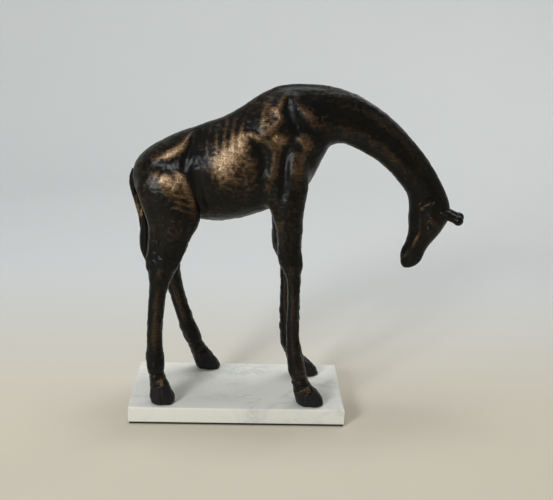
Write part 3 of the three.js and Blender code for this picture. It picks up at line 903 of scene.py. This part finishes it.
def maths(tree, operation, a, b=0.0):
    return add_node(tree, "ShaderNodeMath", {0: a, 1: b}, operation=operation).outputs["Value"]


def spread(tree, value, low, high, out_low=0.0, out_high=1.0):
    """Takes a value from one range smoothly to another, held at the ends."""
    inputs = {
        "Value": value,
        "From Min": low,
        "From Max": high,
        "To Min": out_low,
        "To Max": out_high,
    }
    kind = "ShaderNodeMapRange"
    return add_node(tree, kind, inputs, interpolation_type="SMOOTHSTEP").outputs["Result"]


def mix(tree, share, a, b):
    """A colour between two, by a share from 0 to 1."""
    inputs = {0: share, 6: a, 7: b}  # the colour mix's own sockets
    return add_node(tree, "ShaderNodeMix", inputs, data_type="RGBA").outputs[2]


def bump(tree, height, distance, strength):
    inputs = {"Height": height, "Distance": distance, "Strength": strength}
    return add_node(tree, "ShaderNodeBump", inputs).outputs["Normal"]


def local_place(tree):
    return add_node(tree, "ShaderNodeTexCoord").outputs["Object"]


def bronze():
    """Near-black brown patina over cast metal, with golden metal dry-brushed on its high
    places, painted highlights of gold and brown laid with the rub, and glossier hoofs."""
    material, tree, shader = new_material("dark_bronze_patina")
    place = local_place(tree)
    rub_and_highlight = attribute(tree, "rub_and_highlight")
    hoof = attribute(tree, "hoof")

    cloud = noise(tree, place, 26, 4)
    fleck = noise(tree, place, 1300, 2, 0.6)
    speck = noise(tree, place, 620, 3, 0.6)
    level = noise(tree, stretched(tree, place, (0.014, 0.014, 0.0011)), 1.0, 3)

    # the golden metal shows through in specks and brush marks, thicker where it is rubbed and where
    # a painted highlight is laid
    grain = maths(tree, "ADD", speck, fleck)
    grain = maths(tree, "ADD", grain, maths(tree, "MULTIPLY", level, 0.3))
    grain = maths(tree, "SUBTRACT", grain, 1.15)
    share = maths(tree, "ADD", maths(tree, "MULTIPLY", grain, 3.0), 1.0)
    gilt_and_highlight = spread(tree, maths(tree, "MULTIPLY", rub_and_highlight, share), 0.24, 1.05)
    # the brown round the golden places is partly the patina's own tone and partly a painted sheen
    drift = maths(tree, "MULTIPLY", maths(tree, "SUBTRACT", cloud, 0.5), 0.45)
    drift = maths(tree, "ADD", drift, maths(tree, "MULTIPLY", grain, 0.3))
    warm = spread(tree, maths(tree, "ADD", rub_and_highlight, drift), -0.08, 0.42)

    murk = spread(tree, cloud, 0.38, 0.62)
    dark = mix(tree, murk, (0.0035, 0.0035, 0.0028, 1), (0.006, 0.005, 0.0035, 1))
    brushed = spread(tree, level, 0.35, 0.65)
    brown = mix(tree, brushed, (0.060, 0.034, 0.017, 1), (0.12, 0.072, 0.036, 1))
    gold = mix(tree, murk, (0.36, 0.24, 0.135, 1), (0.46, 0.33, 0.20, 1))
    colour = mix(tree, warm, dark, brown)
    colour = mix(tree, gilt_and_highlight, colour, gold)
    colour = mix(tree, hoof, colour, (0.012, 0.011, 0.012, 1))
    tree.links.new(colour, shader.inputs["Base Color"])

    tree.links.new(spread(tree, warm, 0.0, 0.7, 0.0, 0.9), shader.inputs["Metallic"])
    rough = spread(tree, fleck, 0.3, 0.7, 0.30, 0.46)
    rough = maths(tree, "SUBTRACT", rough, maths(tree, "MULTIPLY", hoof, 0.12))
    tree.links.new(rough, shader.inputs["Roughness"])
    shader.inputs["Specular IOR Level"].default_value = 0.06
    shader.inputs["Specular Tint"].default_value = (0.45, 0.45, 0.5, 1)

    # a thin coat of wax, that takes the window's light
    shader.inputs["Coat Weight"].default_value = 0.36
    shader.inputs["Coat Roughness"].default_value = 0.26
    shader.inputs["Coat IOR"].default_value = 1.4

    relief = maths(tree, "ADD", speck, maths(tree, "MULTIPLY", fleck, 0.6))
    relief = maths(tree, "ADD", relief, maths(tree, "MULTIPLY", level, 0.5))
    tree.links.new(bump(tree, relief, 0.0007, 0.6), shader.inputs["Normal"])
    tree.links.new(bump(tree, relief, 0.0004, 0.4), shader.inputs["Coat Normal"])
    return material


def marble():
    """White marble with soft grey veins and cloudy patches, honed."""
    material, tree, shader = new_material("white_veined_marble")
    place = local_place(tree)
    bend = add_node(
        tree, "ShaderNodeTexNoise", {"Vector": place, "Scale": 9.0, "Detail": 5.0}
    ).outputs["Color"]
    shift = add_node(
        tree, "ShaderNodeVectorMath", {0: bend, "Scale": 0.07}, operation="SCALE"
    ).outputs["Vector"]
    warped = add_node(tree, "ShaderNodeVectorMath", {0: place, 1: shift}).outputs["Vector"]
    vein_noise = noise(tree, stretched(tree, warped, (0.06, 0.035, 0.05)), 1.0, 3, 0.5)
    vein = maths(tree, "ABSOLUTE", maths(tree, "SUBTRACT", vein_noise, 0.5))
    vein = spread(tree, vein, 0.0, 0.045, 1.0, 0.0)
    fine_noise = noise(tree, warped, 46, 5, 0.6)
    fine = maths(tree, "ABSOLUTE", maths(tree, "SUBTRACT", fine_noise, 0.5))
    fine = spread(tree, fine, 0.0, 0.03, 1.0, 0.0)
    patch = spread(tree, noise(tree, warped, 14, 4), 0.46, 0.66)
    crystal = noise(tree, place, 900, 2)

    cloudy = maths(tree, "MULTIPLY", patch, 0.5)
    colour = mix(tree, cloudy, (0.795, 0.79, 0.72, 1), (0.66, 0.665, 0.62, 1))
    broken = spread(tree, noise(tree, place, 20, 2), 0.44, 0.68, 0.0, 0.30)
    seen = maths(tree, "MULTIPLY", vein, broken)
    colour = mix(tree, seen, colour, (0.34, 0.35, 0.35, 1))
    fine_seen = maths(tree, "MULTIPLY", fine, maths(tree, "MULTIPLY", patch, 0.35))
    colour = mix(tree, fine_seen, colour, (0.42, 0.42, 0.42, 1))
    colour = mix(tree, spread(tree, crystal, 0.3, 0.7, 0.0, 0.10), colour, (0.9, 0.9, 0.88, 1))
    tree.links.new(colour, shader.inputs["Base Color"])
    tree.links.new(spread(tree, crystal, 0.3, 0.7, 0.36, 0.48), shader.inputs["Roughness"])
    shader.inputs["Subsurface Weight"].default_value = 0.08
    shader.inputs["Subsurface Radius"].default_value = (0.004, 0.004, 0.004)
    tree.links.new(bump(tree, crystal, 0.0002, 0.25), shader.inputs["Normal"])
    return material


def rubber():
    """Matt black foam rubber."""
    material, tree, shader = new_material("black_pad")
    place = local_place(tree)
    cell = noise(tree, place, 1400, 3)
    share = spread(tree, cell, 0.35, 0.65)
    colour = mix(tree, share, (0.010, 0.010, 0.011, 1), (0.028, 0.028, 0.030, 1))
    tree.links.new(colour, shader.inputs["Base Color"])
    tree.links.new(spread(tree, cell, 0.3, 0.7, 0.75, 0.92), shader.inputs["Roughness"])
    tree.links.new(bump(tree, cell, 0.0003, 0.6), shader.inputs["Normal"])
    return material


def steel():
    """Zinc-plated steel, finely brushed."""
    material, tree, shader = new_material("plated_steel")
    place = local_place(tree)
    brushed = noise(tree, stretched(tree, place, (0.0003, 0.0003, 0.004)), 1.0, 3)
    dull = noise(tree, place, 300, 3)
    share = spread(tree, dull, 0.35, 0.65)
    colour = mix(tree, share, (0.52, 0.52, 0.50, 1), (0.66, 0.66, 0.65, 1))
    tree.links.new(colour, shader.inputs["Base Color"])
    shader.inputs["Metallic"].default_value = 1.0
    tree.links.new(spread(tree, brushed, 0.3, 0.7, 0.28, 0.46), shader.inputs["Roughness"])
    tree.links.new(bump(tree, brushed, 0.0001, 0.3), shader.inputs["Normal"])
    return material


def give(nodes, material):
    """A CAD node that stays in view takes a material."""
    for node in nodes:
        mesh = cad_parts[node].data
        mesh.materials.clear()
        mesh.materials.append(material)


# ------------------------------------------------------------------ stage, light and camera
def build_stage():
    """A pale round floor that sweeps up into a pale wall on all sides."""
    material, tree, shader = new_material("pale_stage")
    place = local_place(tree)
    behind = add_node(tree, "ShaderNodeSeparateXYZ", {0: place}).outputs["Y"]
    cloud = noise(tree, place, 2.0, 2)
    ground = mix(tree, cloud, (0.62, 0.57, 0.46, 1), (0.65, 0.60, 0.49, 1))
    wall = mix(tree, cloud, (0.65, 0.665, 0.665, 1), (0.68, 0.695, 0.695, 1))
    tint = mix(tree, spread(tree, behind, -0.1, 0.5), ground, wall)
    tree.links.new(tint, shader.inputs["Base Color"])
    shader.inputs["Roughness"].default_value = 0.85
    work = bmesh.new()
    middle, flat, bend, height, steps, sides = -0.75, 1.9, 0.8, 1.9, 20, 120
    outline = [(flat, 0.0)]
    for k in range(1, steps + 1):
        turn = math.radians(90 * k / steps)
        outline.append((flat + bend * math.sin(turn), bend * (1 - math.cos(turn))))
    outline.append((flat + bend, height))
    rows = []
    for radius, z in outline:
        turns = [2 * math.pi * k / sides for k in range(sides)]
        rows.append([
            work.verts.new((radius * math.sin(t), middle - radius * math.cos(t), z - 0.0003))
            for t in turns
        ])
    work.faces.new(rows[0])
    for inner, outer in zip(rows[:-1], rows[1:]):
        for k in range(sides):
            after = (k + 1) % sides
            work.faces.new((inner[k], outer[k], outer[after], inner[after]))
    mesh = bpy.data.meshes.new("stage_floor")
    work.to_mesh(mesh)
    work.free()
    mesh.shade_smooth()
    mesh.materials.append(material)
    floor = bpy.data.objects.new("stage_floor", mesh)
    bpy.context.scene.collection.objects.link(floor)


def add_light(name, place, target, size, power, colour):
    light = bpy.data.lights.new(name, "AREA")
    light.shape = "SQUARE"
    light.size = size
    light.energy = power
    light.color = colour
    made = bpy.data.objects.new(name, light)
    made.location = place
    made.rotation_mode = "QUATERNION"
    made.rotation_quaternion = (target - made.location).to_track_quat("-Z", "Y")
    bpy.context.scene.collection.objects.link(made)


def build_light():
    """A window's soft light from the left front, softer ones round it, and a dim pale room."""
    middle = Vector(sum(extent()) / 2) * MM
    add_light("window_light", (-1.1, -1.6, 1.0), middle, 0.55, 29, (0.94, 0.97, 1.0))
    add_light("room_light", (1.6, -1.2, 0.9), middle, 1.2, 2, (1.0, 0.96, 0.9))
    add_light("back_light", (0.9, 1.1, 1.3), middle, 0.8, 4, (1.0, 0.98, 0.95))
    add_light("top_light", (-0.2, 0.1, 1.9), middle, 0.9, 7, (1.0, 0.99, 0.97))
    add_light("wall_light", (0.3, 0.5, 2.6), Vector((0.3, 1.9, 0.6)), 1.2, 23, (0.97, 0.99, 1.0))
    world = bpy.data.worlds.new("room")
    world.use_nodes = True
    background = world.node_tree.nodes["Background"]
    background.inputs["Color"].default_value = (0.90, 0.93, 0.96, 1)
    background.inputs["Strength"].default_value = 0.1
    bpy.context.scene.world = world
    bpy.context.scene.view_settings.view_transform = "Standard"


def build_camera():
    """The photograph's view: square to the figure's side, from a little above its back."""
    camera = bpy.data.cameras.new("camera")
    camera.sensor_width = 36.0
    camera.lens = 58.6
    made = bpy.data.objects.new("camera", camera)
    pitch, yaw, roll = math.radians(16.56), math.radians(2.12), math.radians(1.81)
    ahead = Vector((
        math.sin(yaw) * math.cos(pitch),
        math.cos(yaw) * math.cos(pitch),
        -math.sin(pitch),
    ))
    right = Vector((math.cos(yaw), -math.sin(yaw), 0))
    up = right.cross(ahead)
    rolled_right = right * math.cos(roll) + up * math.sin(roll)
    rolled_up = up * math.cos(roll) - right * math.sin(roll)
    axes = Matrix((rolled_right, rolled_up, -ahead)).transposed()
    made.matrix_world = Matrix.Translation(Vector((4.8, -927.9, 454.1)) * MM) @ axes.to_4x4()
    bpy.context.scene.collection.objects.link(made)
    bpy.context.scene.camera = made


bronze_look = bronze()
build_skin(bronze_look)
build_small(bronze_look)
give([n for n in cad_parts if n.startswith("pin_")], bronze_look)
give(["marble_base"], marble())
give(["base_pad"], rubber())
give([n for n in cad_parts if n.startswith(("stud_", "washer_", "nut_"))], steel())
build_stage()
build_light()
build_camera()
